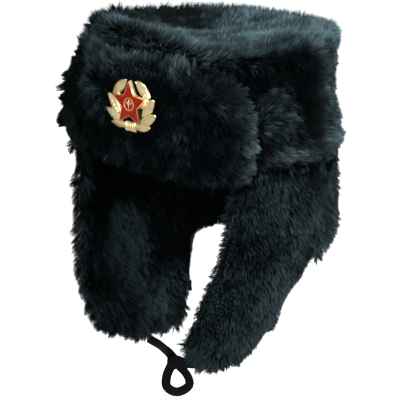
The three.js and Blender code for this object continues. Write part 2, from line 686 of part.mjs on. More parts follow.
const crownCut = join([crownBody(GAP), capDome(GAP, GAP)]);
const knotCut = knotSolid(GAP);
const tieSolid = (rows) => ribbon(tieRoute(rows), TIE_FACING).subtract(knotCut);
const badgeMatrix = badgeFrame();
const placed = (geometry) => toSolid(geometry.applyMatrix4(badgeMatrix));

function frontFlap() {
  const mound = placed(extruded(badgePlate(-PRESSED), BADGE.mound, -BADGE.mound));
  const seat = placed(extruded(badgePlate(PRESSED / 2), BADGE.standoff, -BADGE.back - GAP));
  return join([frontSolid(), mound, ...locks(frontSurface, FRONT_LOCKS, 51)])
    .subtract(crownCut).subtract(bandSolid(GAP)).subtract(seat).subtract(placed(pinGeometry(GAP)));
}

const FUR = { color: 0x1b262b, roughness: 0.9, metalness: 0 };
const QUILT = { color: 0x14171a, roughness: 0.95, metalness: 0 };
const GOLD = { color: 0xd9c48a, roughness: 0.3, metalness: 1 };
const ENAMEL = { color: 0xb8281c, roughness: 0.25, metalness: 0 };
const TAPE = { color: 0x16181b, roughness: 0.7, metalness: 0 };

const group = new THREE.Group();
group.add(
  toMesh("crown_wall", capSolid(), QUILT),
  toMesh("crown_fur", crownBody(0).subtract(capDome(GAP, HEM_DROP)), FUR),
  toMesh("front_flap", frontFlap(), FUR),
  toMesh("ear_flap_left", flapSolid(FLAPS.left, 0), FUR),
  toMesh("ear_flap_right", flapSolid(FLAPS.right, 0), FUR),
  toMesh("neck_flap", flapSolid(FLAPS.neck, 0), FUR),
);

const badge = new THREE.Group();
badge.applyMatrix4(badgeMatrix);
badge.add(
  toMesh("badge_wreath", badgeMetal(), GOLD),
  toMesh("badge_star", badgeEnamel(), ENAMEL),
  toMesh("badge_emblem", badgeMotif(), GOLD),
);

const tie = new THREE.Group();
tie.add(
  toMesh("tie_ribbon_right", tieSolid(RIGHT_RIBBON).subtract(flapSolid(FLAPS.right, GAP)), TAPE),
  toMesh("tie_ribbon_left", tieSolid(LEFT_RIBBON).subtract(flapSolid(FLAPS.left, GAP)), TAPE),
  toMesh("tie_knot", knotSolid(0), TAPE),
  toMesh("tie_loop", tieSolid(LOOP_RIBBON), TAPE),
);
group.add(badge, tie);

export default group;
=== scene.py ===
# %% [markdown]
# # An ushanka in deep-pile fur
# An ushanka is a winter hat sewn from fur cloth over a quilted cap. Its front flap stands up
# against the crown and carries a pinned badge. The ear flaps hang down, and a ribbon from their
# tips is tied under the chin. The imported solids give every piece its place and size, so the
# first step loads them. What follows then adds the fur, the metal, the enamel and the cloth.

# %% Load the hat's solids
import math

import bpy
import numpy as np
from mathutils import Matrix, Vector, kdtree
from mathutils.bvhtree import BVHTree


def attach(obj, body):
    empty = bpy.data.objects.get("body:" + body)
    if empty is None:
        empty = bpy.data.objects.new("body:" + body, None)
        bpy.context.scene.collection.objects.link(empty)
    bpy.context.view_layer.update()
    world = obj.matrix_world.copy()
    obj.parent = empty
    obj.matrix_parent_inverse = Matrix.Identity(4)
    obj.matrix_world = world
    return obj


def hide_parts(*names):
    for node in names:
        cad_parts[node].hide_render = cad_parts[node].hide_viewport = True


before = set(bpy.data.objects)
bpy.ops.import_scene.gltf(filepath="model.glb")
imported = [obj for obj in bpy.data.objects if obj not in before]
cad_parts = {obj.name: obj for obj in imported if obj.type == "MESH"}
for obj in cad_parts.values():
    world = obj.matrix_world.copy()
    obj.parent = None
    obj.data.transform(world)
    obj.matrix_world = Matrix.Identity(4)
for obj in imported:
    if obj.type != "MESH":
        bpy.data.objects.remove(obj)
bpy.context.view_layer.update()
MM = 0.001  # one millimetre, because Blender counts in metres
print("solids:", ", ".join(sorted(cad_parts)))

# %% [markdown]
# The camera comes first, because a look is only judged through it. A product picture like this
# one is taken from a step away with a long lens, a little above the hat and from its wearer's
# left. A short lens close by would bulge the front flap, so the lens here is long.


# %% Set the camera
def put(name, data):
    """A new object in the scene, for a camera, a light or a mesh."""
    thing = bpy.data.objects.new(name, data)
    bpy.context.collection.objects.link(thing)
    return thing


def look(thing, place, target):
    """Puts a camera or a light at a place and turns it to a target."""
    thing.location = place
    thing.rotation_euler = (Vector(target) - Vector(place)).to_track_quat("-Z", "Y").to_euler()


camera = put("camera", bpy.data.cameras.new("camera"))
look(camera, (0.538, -0.932, 0.185), (0, 0, -0.125))
camera.data.lens = 118.8
camera.data.shift_x = -0.02
bpy.context.scene.camera = camera
print("camera is", round(camera.location.length, 2), "m from the head seat")

# %% [markdown]
# Dark fur shows its form only through light that grazes its tips. One large soft light above
# and a little behind brightens the crown's top and the rims. A second one on the wearer's left
# opens up the ear flap, and a weak one in front keeps the dark front flap from going black. The
# floor lies well below the hat, which is held up as a head holds it, so no shadow reaches the
# picture.


# %% Set the floor and the lights
def soft_light(name, place, target, size, watts):
    light = bpy.data.lights.new(name, "AREA")
    light.shape, light.size, light.energy = "DISK", size, watts
    look(put(name, light), place, target)


soft_light("top_light", (0.35, 0.45, 1.8), (0, 0, -0.05), 0.8, 52)
soft_light("side_light", (1.6, 0.7, 0.45), (0, 0, -0.1), 0.8, 30)
soft_light("front_light", (1.0, -1.75, 0.5), (0, 0, -0.1), 1.0, 17)

FLOOR_LEVEL, FLOOR_REACH = -0.6, 30
floor_corners = [
    (x * FLOOR_REACH, y * FLOOR_REACH, FLOOR_LEVEL) for x, y in ((-1, -1), (1, -1), (1, 1), (-1, 1))
]
floor_mesh = bpy.data.meshes.new("floor")
floor_mesh.from_pydata(floor_corners, [], [(0, 1, 2, 3)])
floor = put("floor", floor_mesh)
print("floor at", FLOOR_LEVEL, "m, lights:", len(bpy.data.lights))

# %% [markdown]
# Each finish below is a short sum on the surface: a mask here, a mix there. Written as single
# nodes and links these sums are long and hard to read. So one small class wraps a node's output
# and lets Python's own signs add the Math nodes. Another holds a material and adds any other
# node from its type, its settings and its inputs.


# %% Write shader sums as Python sums
class Wire:
    """An output in a material's nodes that takes part in sums."""

    def __init__(self, paint, socket):
        self.paint, self.socket = paint, socket

    def maths(self, operation, *values):
        return self.paint.node("Math", {"operation": operation}, dict(enumerate(values)))

    def __add__(self, other):
        return self.maths("ADD", self, other)

    def __sub__(self, other):
        return self.maths("SUBTRACT", self, other)

    def __mul__(self, other):
        return self.maths("MULTIPLY", self, other)

    def __rsub__(self, other):
        return self.maths("SUBTRACT", other, self)

    __radd__, __rmul__ = __add__, __mul__

    def waves(self):
        return self.maths("SINE", self)

    def between(self, low, high):
        """0 below low, 1 above high, and smooth between them."""
        return self.paint.node(
            "MapRange",
            {"interpolation_type": "SMOOTHSTEP"},
            {"Value": self, "From Min": low, "From Max": high},
        )


class Paint:
    """A material, or the world, whose nodes are added one by one."""

    def __init__(self, name, kept_in=bpy.data.materials, shader="Principled BSDF", **constants):
        self.material = kept_in.new(name)
        self.material.use_nodes = True
        self.nodes = self.material.node_tree.nodes
        self.links = self.material.node_tree.links
        self.shader = self.nodes[shader]
        self.wear(**constants)

    def node(self, kind, settings=None, inputs=None, output=0):
        made = self.nodes.new("ShaderNode" + kind)
        for name, value in (settings or {}).items():
            setattr(made, name, value)
        for name, value in (inputs or {}).items():
            self.plug(made.inputs[name], value)
        return Wire(self, made.outputs[output])

    def plug(self, socket, value):
        if isinstance(value, Wire):
            self.links.new(value.socket, socket)
        else:
            socket.default_value = value

    def mix(self, share, low, high):
        """A colour between two, by a share from 0 to 1."""
        made = self.nodes.new("ShaderNodeMix")
        made.data_type = "RGBA"
        for socket, value in zip((made.inputs[0], made.inputs[6], made.inputs[7]), (share, low, high)):
            self.plug(socket, value)
        return Wire(self, made.outputs[2])

    def noise(self, scale, detail):
        place = self.node("TexCoord", output="Object")
        return self.node("TexNoise", {}, {"Vector": place, "Scale": scale, "Detail": detail})

    def split(self, vector):
        """The three numbers of a vector."""
        made = self.nodes.new("ShaderNodeSeparateXYZ")
        self.plug(made.inputs[0], vector)
        return [Wire(self, output) for output in made.outputs]

    def bump(self, height, distance, strength):
        relief = {"Height": height, "Distance": distance, "Strength": strength}
        self.wear(Normal=self.node("Bump", {}, relief))

    def wear(self, **sockets):
        """Sets or links the shader's own sockets."""
        for socket, value in sockets.items():
            self.plug(self.shader.inputs[socket.replace("_", " ")], value)


print("signs that add Math nodes: + - *")

# %% [markdown]
# The background of a product picture is pure white. So the floor glows, and sends none of its
# glow to the hat. The white surroundings light the hat only faintly, since strong light from all
# around would flatten the fur. The camera sees them in full, and what shines mirrors much of them.

# %% Paint the floor and the surroundings
floor_paint = Paint(
    "pale_floor",
    Base_Color=(0.9, 0.9, 0.9, 1),
    Roughness=0.9,
    Emission_Color=(1, 1, 1, 1),
    Emission_Strength=0.95,
)
floor.data.materials.append(floor_paint.material)
floor.visible_diffuse = floor.visible_glossy = False

SKY_LIGHT = 0.1  # the share of the surroundings that lights the hat
SKY_GLOSS = 0.6  # the share that shows in what shines
sky = Paint("studio", bpy.data.worlds, "Background", Color=(1, 1, 1, 1))
bpy.context.scene.world = sky.material
seen = sky.node("LightPath", output="Is Camera Ray")
mirrored = sky.node("LightPath", output="Is Glossy Ray")
sky.wear(Strength=SKY_LIGHT + (1 - SKY_LIGHT) * seen + (SKY_GLOSS - SKY_LIGHT) * mirrored)
bpy.context.scene.view_settings.view_transform = "Standard"
print("painted:", floor_paint.material.name, "and", sky.material.name)

# %% [markdown]
# Every piece that is made from here on is a mesh with a finish, and it rides on the hat's one
# body. Some stand for a solid and hide it. One helper does this for all of them. It fills the
# mesh from number arrays, which takes moments where single vertices would take minutes.


# %% Make a piece from arrays
def mesh_from(name, points, corners, sizes):
    """A mesh from its points, its faces' corners in one row, and each face's corner count."""
    mesh = bpy.data.meshes.new(name)
    mesh.vertices.add(len(points))
    mesh.vertices.foreach_set("co", np.asarray(points, np.float32).ravel())
    mesh.loops.add(len(corners))
    mesh.loops.foreach_set("vertex_index", np.asarray(corners, np.int32))
    mesh.polygons.add(len(sizes))
    starts = np.concatenate([[0], np.cumsum(sizes)[:-1]])
    mesh.polygons.foreach_set("loop_start", starts.astype(np.int32))
    mesh.update(calc_edges=True)
    mesh.polygons.foreach_set("use_smooth", np.ones(len(sizes), bool))
    return mesh


def mesh_of(name, points, faces):
    """A mesh from its points and a list of its faces."""
    return mesh_from(name, points, [i for face in faces for i in face], [len(face) for face in faces])


def lay_map(mesh, spots):
    """Gives each corner of a mesh's faces its place in the map that the finishes read."""
    mesh.uv_layers.new(name="OFBake").uv.foreach_set("vector", spots.astype(np.float32).ravel())


def dress(name, mesh, paint, slot, *nodes):
    """Shows a mesh as a piece of the hat that may stand for some solids."""
    piece = put(name, mesh)
    mesh.materials.append(paint.material)
    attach(piece, "root")
    if nodes:
        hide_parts(*nodes)
    return piece


def triangles(mesh):
    return sum(len(face.vertices) - 2 for face in mesh.polygons)


# %% [markdown]
# Deep-pile fur cloth has two layers to the eye. Below is the backing with its dense, dark
# underfur. Above it lie the guard hairs, which are lighter at their tips and gather in tufts.
# Hair particles would draw this well, but they can't leave Blender with the part. So the fur is
# made as flat tapering blades in plain meshes, which any program shows. All blades are worked
# out at once, with a few helpers on number arrays.


# %% Write helpers for fur on a surface
WAVES = 9  # how many waves make up a ripple


def ripple(places, length, seed):
    """Smooth noise from about -1 to 1: a sum of waves about so long, in random directions."""
    random = np.random.default_rng(seed)
    ways = random.normal(size=(WAVES, 3))
    pace = (2 * math.pi / length) * random.uniform(0.6, 1.5, (WAVES, 1))
    ways *= pace / np.linalg.norm(ways, axis=1)[:, None]
    return np.sin(places @ ways.T + random.uniform(0, 6.3, WAVES)).sum(1) / (WAVES / 2)


def rise(low, high, values):
    """0 below low, 1 above high, and smooth between them."""
    share = np.clip((values - low) / (high - low), 0, 1)
    return share * share * (3 - 2 * share)


def unit(vectors):
    return vectors / np.maximum(np.linalg.norm(vectors, axis=-1, keepdims=True), 1e-12)


def places_and_normals(mesh):
    """Where a mesh's vertices are and which way they face."""
    count = len(mesh.vertices)
    places, normals = np.empty((2, count * 3))
    mesh.vertices.foreach_get("co", places)
    mesh.vertex_normals.foreach_get("vector", normals)
    return places.reshape(-1, 3), normals.reshape(-1, 3)


def spread(values, ends, times):
    """Smooths one value a vertex along the edges of a mesh."""
    for _ in range(times):
        total, count = values.copy(), np.ones(len(values))
        for a, b in (ends, ends[::-1]):
            np.add.at(total, a, values[b])
            np.add.at(count, a, 1)
        values = total / (count[:, None] if values.ndim > 1 else count)
    return values


def settle(mesh, places):
    """Moves a mesh's vertices to new places and shades it smooth."""
    mesh.vertices.foreach_set("co", places.astype(np.float32).ravel())
    mesh.update()
    mesh.polygons.foreach_set("use_smooth", np.ones(len(mesh.polygons), bool))


print("half way up a rise:", rise(0, 1, 0.5))

# %% [markdown]
# The blades stand on a backing, which comes from each solid. An even copy of the solid's mesh is
# sunk under its surface by about the height of the pile, so that the hair tips end where the
# solid does. Where a solid is thin the backing sinks less. Faces that look at a neighbour are
# hidden in a seam, so they aren't sunk: they reach a little into the neighbour, and no light
# shows between the two. Thin corners that would stick out as knobs are pulled in. The crown's fur
# is thin over the cap, and its backing reaches into the cap there, so that it can't tear open.

# %% Sink a backing under each fur solid
INSET = {"crown_fur": 7, "front_flap": 7, "ear_flap_left": 6.5, "ear_flap_right": 6.5, "neck_flap": 6.5}
DEEPEST = 0.36  # a backing sinks by no more than this share of its solid's thickness
VOXEL = 4.5 * MM
OVERLAP = 3 * MM  # how far neighbouring backings reach into each other, so that no seam gapes
PROUD = 1.6 * MM  # how far a point of a backing may stand out over what is round it
ON_CAP = 0.6 * MM  # how near the cap a corner of the crown's fur counts as lying on it
INTO_CAP = 2 * MM  # how far the crown's backing reaches into the cap, where the fur is thin
SEARCH = 9 * MM  # how far from a point its neighbours are looked for
THICKEST = 20 * MM  # what counts as the thickness where a ray finds no other side
trees = {
    name: BVHTree.FromObject(solid, bpy.context.evaluated_depsgraph_get())
    for name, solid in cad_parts.items()
}


def even_copy(node):
    """A solid's mesh in even, softened faces. The crown's reaches into the cap."""
    rough = put(node + "_rough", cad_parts[node].data.copy())
    if node == "crown_fur":
        for corner in rough.data.vertices:
            spot, _, _, gap = trees["crown_wall"].find_nearest(corner.co)
            if gap < ON_CAP:
                corner.co += (spot - corner.co).normalized() * INTO_CAP
    remesh = rough.modifiers.new("remesh", "REMESH")
    remesh.mode, remesh.voxel_size = "VOXEL", VOXEL
    smooth = rough.modifiers.new("smooth", "SMOOTH")
    smooth.factor, smooth.iterations = 0.5, 5
    shown = rough.evaluated_get(bpy.context.evaluated_depsgraph_get())
    mesh = bpy.data.meshes.new_from_object(shown)
    mesh.name = node + "_backing"
    mesh.materials.clear()
    bpy.data.objects.remove(rough)
    return mesh


def distances(node, mesh, places, normals):
    """How far it is from each point through the solid, to the nearest neighbour, to what the
    point faces, and to the nearest fur."""
    own = BVHTree.FromPolygons(places.tolist(), [face.vertices[:] for face in mesh.polygons])
    furs = [tree for name, tree in trees.items() if name != node and name in INSET]
    others = [*furs, trees["crown_wall"]]
    thick, free, faced, seam = np.empty((4, len(places)))
    for i, (place, normal) in enumerate(zip(places, normals)):
        thick[i] = own.ray_cast(Vector(place - normal * 0.4 * MM), Vector(-normal))[3] or THICKEST
        near = [tree.find_nearest(Vector(place), SEARCH)[3] or SEARCH for tree in others]
        free[i], seam[i] = min(near), min(near[:-1])
        ahead = [tree.ray_cast(Vector(place), Vector(normal), SEARCH)[3] for tree in others]
        faced[i] = min([d for d in ahead if d is not None], default=SEARCH)
    return thick, free, faced, seam


def backing(node, inset):
    """The backing cloth of a fur solid: its mesh, and for each vertex how clear of neighbours it
    is, which way the nearest edge lies, how sharply it bends there and how full the pile is."""
    mesh = even_copy(node)
    places, normals = places_and_normals(mesh)
    ends = np.array([edge.vertices[:] for edge in mesh.edges]).T
    thick, free, faced, seam = distances(node, mesh, places, normals)
    if node == "crown_fur":
        thick -= 1.5 * INTO_CAP
    open_air = rise(1.5 * MM, 7 * MM, free)
    hidden = rise(6 * MM, 2 * MM, faced)
    clear = np.maximum(open_air, 1 - hidden)
    sink = np.minimum(inset, DEEPEST * thick) * (open_air + clear) / 2
    sink -= OVERLAP * rise(3 * MM, 1 * MM, seam) * hidden
    places -= normals * spread(sink, ends, 3)[:, None]
    for _ in range(3):
        proud = ((places - spread(places, ends, 5)) * normals).sum(1)
        places -= normals * (np.maximum(0, proud - PROUD) * open_air)[:, None]
    settle(mesh, places)
    edge_way = spread(normals, ends, 24)
    full = np.clip(DEEPEST * spread(thick, ends, 6) / inset, 0, 1)
    return {
        "mesh": mesh,
        "clear": clear,
        "edge_way": edge_way * (0.3 + 0.7 * open_air)[:, None],
        "bend": (1 - np.linalg.norm(edge_way, axis=1)) * open_air,
        "full": (0.55 + 0.45 * full) * (0.4 + 0.6 * clear),
    }


backings = {node: backing(node, inset * MM) for node, inset in INSET.items()}
for node, made in backings.items():
    print(node, "backing:", len(made["mesh"].vertices), "vertices")

# %% [markdown]
# A guard hair's colour depends on two things only: how light that hair is, and how far along it
# the point lies, since the tips are paler and greyer than the roots. Both are known when the
# blades are made, so they go into the mesh's map, across and up. The finish then reads nothing
# but that map, and every blade shows its own colour wherever the part is used. The map is named
# OFBake, which is the name that the library's export keeps.

# %% Paint the guard hairs and the underfur
hair = Paint("guard_hair", Roughness=0.6, Specular_IOR_Level=0.02, Specular_Tint=(0.75, 0.93, 1, 1))
hair_map = hair.node("UVMap", {"uv_map": "OFBake"})
lightness, along, _ = hair.split(hair_map)
tip = hair.mix(lightness.between(0.0, 1.0), (0.0012, 0.0022, 0.0027, 1), (0.13, 0.212, 0.24, 1))
hair.wear(Base_Color=hair.mix(along.between(0.25, 1.0), (0.0007, 0.0013, 0.0016, 1), tip))

underfur = Paint("underfur", Roughness=0.9, Specular_IOR_Level=0.02)
fleck = underfur.noise(900, 3)
deep, dusky = (0.0012, 0.002, 0.0026, 1), (0.006, 0.0105, 0.0125, 1)
underfur.wear(Base_Color=underfur.mix(fleck.between(0.35, 0.7), deep, dusky))
underfur.bump(fleck, 1.5 * MM, 0.8)
print("hair colours run over", hair_map.socket.name)

# %% [markdown]
# Each hair starts at a random root on its backing. Real pile is as dense at an edge as it is
# elsewhere, but the hairs fan out there and would look thin, so roots crowd where the backing
# bends. Hairs also cling together. So some roots are chosen as leaders, and each hair later
# bends its tip towards its leader's.

# %% Scatter roots and choose leaders
EDGE_CROWD = 3.0  # how much denser the roots stand on an edge, where the pile fans out


def roots_on(made, weight, count, random):
    """Random roots on a backing: their places, normals, edge ways and how full the pile is, and
    the backing's area."""
    mesh = made["mesh"]
    mesh.calc_loop_triangles()
    corners = np.empty(len(mesh.loop_triangles) * 3, np.int32)
    mesh.loop_triangles.foreach_get("vertices", corners)
    corners = corners.reshape(-1, 3)
    places, normals = places_and_normals(mesh)
    a, b, c = (places[corners[:, k]] for k in range(3))
    area = np.linalg.norm(np.cross(b - a, c - a), axis=1) / 2
    crowd = weight(places, normals, made["clear"]) * (1 + EDGE_CROWD * made["bend"])
    share = area * crowd[corners].mean(1)
    chosen = random.choice(len(corners), count, p=share / share.sum())
    u, v = random.random((2, count))
    fold = u + v > 1
    u[fold], v[fold] = 1 - u[fold], 1 - v[fold]
    shares = np.stack([1 - u - v, u, v], 1)[:, :, None]

    def blend(values):
        return (values[corners[chosen]] * shares).sum(1)

    full = blend(made["full"][:, None])[:, 0]
    return blend(places), unit(blend(normals)), blend(made["edge_way"]), full, area.sum()


def leaders_of(places, gap, area, random):
    """For each root, the nearest of some leading roots that stand about so far apart."""
    chosen = random.choice(len(places), max(8, int(area / gap**2)), replace=False)
    tree = kdtree.KDTree(len(chosen))
    for i, place in enumerate(places[chosen]):
        tree.insert(place, i)
    tree.balance()
    return chosen[[tree.find(place)[1] for place in places]]


print("roots on an edge stand at most", 1 + EDGE_CROWD, "times as dense")

# %% [markdown]
# A hair that lies down shows its flat side, so two triangles in the shape of a kite are enough.
# One that stands up is seen from all around, so it gets three sides. Both are shaded mostly with
# the direction of the cloth under them, because with their own each hair would glitter alone.

# %% Draw hairs as blades or spikes
KNEE = 0.45  # how far along a hair it is widest and bends


def hair_mesh(name, points, faces, shares, light, shade):
    """Equal hairs as one mesh: points (hair, corner, xyz), the faces' corners in one hair, how
    far along each corner lies, each hair's lightness and the normals to shade with."""
    count, corners = points.shape[:2]
    order = np.arange(count)[:, None] * corners + np.ravel(faces)
    mesh = mesh_from(name, points.reshape(-1, 3), order.ravel(), np.full(count * len(faces), 3))
    up = np.broadcast_to(0.02 + 0.96 * np.array(shares)[np.ravel(faces)], order.shape)
    spot = np.tile([-0.004, 0.004, 0.0], len(faces))  # a hair's corners need room in the map
    lay_map(mesh, np.stack([light[:, None] + spot, up], axis=2))
    mesh.normals_split_custom_set_from_vertices(shade.reshape(-1, 3).astype(np.float32))
    return mesh


def blades(name, roots, middles, tips, normals, light, width, random):
    """Kite-shaped blades, widest and bent at the middle, with the flat side out."""
    roll = random.uniform(-0.6, 0.6, len(roots))[:, None]
    side = unit(np.cross(normals, tips - roots))
    side = side * np.cos(roll) + normals * np.sin(roll)
    half = side * width / 2 * random.uniform(0.8, 1.2, len(roots))[:, None]
    points = np.stack([roots, middles - half, middles + half, tips], axis=1)
    lean = unit(tips - roots)
    shade = unit(normals + 0.2 * lean + 0.3 * side * random.normal(size=(len(roots), 1)))
    faces, shares = [(0, 1, 2), (1, 3, 2)], [0, KNEE, KNEE, 1]
    return hair_mesh(name, points, faces, shares, light, np.repeat(shade[:, None], 4, axis=1))


def spikes(name, roots, middles, tips, normals, light, width, random):
    """Three-sided spikes, for hair that stands up and is seen from all around."""
    lean = unit(tips - roots)
    side = unit(np.cross(lean, random.normal(size=roots.shape)))
    other = np.cross(lean, side)
    rim = [side * np.cos(turn) + other * np.sin(turn) for turn in np.radians([0, 120, 240])]
    points = np.stack([*(roots + r * width / 2 for r in rim), tips], axis=1)
    shade = np.stack([*(unit(normals + 0.7 * r) for r in rim), normals], axis=1)
    faces, shares = [(0, 1, 3), (1, 2, 3), (2, 0, 3)], [0, 0, 0, 1]
    return hair_mesh(name, points, faces, shares, light, shade)


print("a hair bends at", KNEE, "of its length")

# %% [markdown]
# The hairs are combed, not scattered. On the flaps the pile runs down, on the crown's side too,
# and along every edge it turns outwards over it. On the sunken top the pile is short and stands
# up. The seams of the rim push it upwards. What is left to chance comes in three sizes: each
# hair's own, each wisp's and each lock's. Without the wisps and locks the fur would look like
# grass.

# %% Grow the hairs on a backing
EDGE_PULL = 1.6  # how strongly hair turns out over an edge, next to the comb's own direction
LIFT_AT = {"root": 1.15, "tip": 0.9}  # a hair stands steeper at its root than at its tip


def grow(name, made, count, style, seed):
    """One mesh of hairs on a backing. style["comb"](places, normals) gives each root its comb
    direction, length, lift in radians, lightness, and wildness from 0 to about 1."""
    random = np.random.default_rng(seed)
    places, normals, edge_way, full, area = roots_on(made, style["weight"], count, random)
    comb, length, lift, light, wild = style["comb"](places, normals)
    wisp_gap, lock_gap = style["wisp"] * MM, style["lock"] * MM
    wisp = leaders_of(places, wisp_gap, area, random)
    lock = leaders_of(places, lock_gap, area, random)
    own, by_wisp, by_lock, tilt = random.normal(size=(4, count))
    by_wisp, by_lock, tilt = by_wisp[wisp], by_lock[lock], tilt[lock]

    # Its length varies with the hair and its wisp, and in wild fur with its lock.
    length = length * style.get("long", 1) * random.uniform(0.75, 1.1, count) * full
    length *= np.clip(1 + 0.05 * by_wisp + 0.09 * wild * by_lock, 0.75, 1.25)

    # It lies along the comb, turned a little from place to place.
    way = comb + EDGE_PULL * edge_way
    way = unit(way - normals * (way * normals).sum(1)[:, None])
    across = np.cross(normals, way)
    turn = 0.6 * ripple(places, 60 * MM, seed + 1) + 0.4 * ripple(places, 20 * MM, seed + 2)
    turn *= style["sway"]
    turn += 0.14 * own + 0.12 * by_wisp + 0.3 * wild * tilt
    way = way * np.cos(turn)[:, None] + across * np.sin(turn)[:, None]

    # It leaves the cloth steeply and bends over at its knee.
    lift = lift * (1 + 0.2 * ripple(places, 26 * MM, seed + 3))
    lift = lift + 0.1 * random.normal(size=count) + 0.13 * wild * by_lock
    lift = np.clip(lift, 0.15, 1.45)
    start, end = (
        way * np.cos(lift * LIFT_AT[part])[:, None] + normals * np.sin(lift * LIFT_AT[part])[:, None]
        for part in ("root", "tip")
    )
    middles = places + start * (KNEE * length)[:, None]
    tips = middles + end * ((1 - KNEE) * length)[:, None]

    # Its tip clings to its leaders' tips, the more so the nearer they are.
    off = np.linalg.norm(places - places[wisp], axis=1) / wisp_gap
    apart = np.linalg.norm(places - places[lock], axis=1) / lock_gap
    cling = (random.uniform(0.3, 0.75, count) * rise(2, 1, off))[:, None]
    tips += cling * (tips[wisp] - tips)
    middles += 0.4 * cling * (middles[wisp] - middles)
    tips += (0.22 * wild * rise(2, 1, apart))[:, None] * (tips[lock] - tips)

    # Its lightness varies in the same sizes, painted shade darkens the hairs between locks, and a few hairs
    # are much paler than the rest.
    broad = 0.45 * ripple(places, 34 * MM, seed + 4) + 0.4 * wild * ripple(places, 13 * MM, seed + 5)
    light = light * np.exp(0.25 * own + 0.22 * by_wisp + 0.2 * wild * by_lock + broad)
    light = light * (1.1 - 0.5 * wild * np.minimum(apart, 1) ** 2)
    pale = (0.012 + 0.14 * light) * random.normal(size=count) ** 2
    light = np.clip(light + pale, 0.005, 0.99)
    shape = spikes if style.get("upright") else blades
    return shape(name, places, middles, tips, normals, light, style["width"] * MM, random)


print("hair turns over edges with a pull of", EDGE_PULL)

# %% [markdown]
# The five fur pieces differ only in how they are combed, so each gets a short rule. A rule tells
# from a root's place and from the way it faces which part of the hat it is on. The backing shows
# between the hairs as dark underfur, and the flaps and the crown are stuffed with wadding. The
# crown comes first. Its side is combed down from the seam that runs round under the rim, and the
# hair on its sunken top leans back.


# %% Comb the crown, its rim and the sunken top
DOWN = np.array([0, 0, -1.0])
PILE = 12.5  # the guard hairs' length in millimetres, where nothing shortens them
HEAD_HALF = (0.084, 0.1)  # half the width and half the depth of the head hollow
TOP_HALF = (0.104, 0.122)  # the same for the sunken top
SWIRL = (0.083, -0.068, -0.046)  # where the hair fans out from beside the front flap


def outwards(places):
    """Level directions away from the middle of the head."""
    return unit(places * [1 / HEAD_HALF[0] ** 2, 1 / HEAD_HALF[1] ** 2, 0])


def bare_where_covered(places, normals, clear):
    return rise(0.0, 0.2, clear)


def crown_weight(places, normals, clear):
    outer = rise(-0.3, 0.2, (normals * outwards(places)).sum(1) + np.maximum(0, normals[:, 2]))
    return bare_where_covered(places, normals, clear) * outer


def patch(places, spot, reach):
    """1 at a spot, given in millimetres, and 0 from its reach on."""
    return rise(reach, 0.3 * reach, np.linalg.norm(places / MM - spot, axis=1))


def comb_crown(places, normals):
    x, y, z = places.T
    turn = np.degrees(np.arctan2(x, -y))  # 0 in front, and 90 on the wearer's left
    away = outwards(places)
    sideways = unit(np.cross([0, 0, 1.0], away))
    top = rise(0.45, 0.8, normals[:, 2])
    inner = top * rise(1.0, 0.85, np.hypot(x / TOP_HALF[0], y / TOP_HALF[1]))
    crest = 0.012 + 0.016 * rise(60, -60, turn)
    seam = rise(crest - 0.006, crest + 0.004, z) * (1 - top)
    brow = rise(44, 30, np.abs(turn)) * rise(0.036, 0.028, z) * (1 - top)
    strip = rise(82, 91, turn) * rise(140, 120, turn) * (1 - top)
    hem = rise(-48, -60, z / MM) * rise(30, 50, turn)
    swirl = patch(places, (89, -50, -31), 32)
    trim = np.maximum(1.3 * patch(places, (-66, -92, 16), 42), patch(places, (102, 36, 6), 56))

    fan = unit(places - np.array(SWIRL))
    comb = DOWN * (1 - 2.4 * seam)[:, None] + away * (0.35 * seam + top)[:, None]
    comb = comb + fan * (2.2 * swirl)[:, None]
    comb = comb * (1 - inner)[:, None] + np.array([0.25, 1.0, 0]) * inner[:, None]
    comb += sideways * (1.6 * strip + 0.9 * hem)[:, None]
    length = (PILE - 2.5 * inner - 4.5 * brow - 4 * trim) * MM
    lift = 0.8 + 0.35 * inner + 0.15 * seam

    # Painted light and shade: the pile is made lighter where the light catches it, on the top, the rim seam,
    # the brow, the back strip and the swirl. It is made darker in painted shade on the side between the front
    # flap and the back strip, and in the sunken hollow, where a few lighter streaks are kept.
    back = rise(82, 91, np.abs(turn))
    shaded = rise(20, 34, turn) * rise(98, 84, turn) * rise(0.014, 0.006, z) * (1 - 0.8 * hem)
    hollow_shade = np.maximum(patch(places, (-54, 46, 18), 60), patch(places, (-80, 0, 29), 54)) ** 1.4
    light = 0.14 + 0.09 * back - 0.02 * strip + 0.13 * seam + 0.08 * top + 0.09 * brow + 0.08 * hem
    light = light * (1 - 0.85 * shaded) * (1 - 0.92 * hollow_shade) + 0.18 * swirl
    light += 0.12 * hollow_shade * rise(0.2, 0.9, ripple(places, 16 * MM, 71))
    wild = 0.9 - 0.1 * top + 0.5 * patch(places, (-90, -60, -20), 60)
    return comb, length, lift, light, wild


CROWN = {"weight": crown_weight, "comb": comb_crown, "wisp": 3, "lock": 9, "width": 0.52, "sway": 0.8}
CROWN_TOP = {**CROWN, "upright": True, "width": 0.85, "wisp": 2.2, "lock": 6}


def fur_piece(node, styles):
    """Shows a backing and its blades, in as many meshes as the styles say."""
    made = backings[node]
    base = dress(node + "_backing", made["mesh"], underfur, "fur", node)
    total = triangles(made["mesh"])
    for name, count, style, seed in styles:
        mesh = grow(name, made, count, style, seed)
        dress(name, mesh, hair, "fur")
        total += triangles(mesh)
    print(node, "fur:", total, "triangles")


def part_of(style, rule):
    """The same style on a part of the backing only."""
    return {**style, "weight": lambda p, n, clear: style["weight"](p, n, clear) * rule(p, n)}


fur_piece(
    "crown_fur",
    [
        ("crown_top_fur", 50000, part_of(CROWN_TOP, lambda p, n: rise(0.3, 0.5, n[:, 2])), 11),
        ("crown_side_fur", 88000, part_of(CROWN, lambda p, n: rise(0.6, 0.35, n[:, 2])), 12),
    ],
)

# %% [markdown]
# The front flap stands up against the crown. Its pile runs down in the middle, turns aside at
# the two ends and up along the top edge, where the light catches it. Under the badge the pile is
# pressed flat, so that the badge lies on it and doesn't sink in.


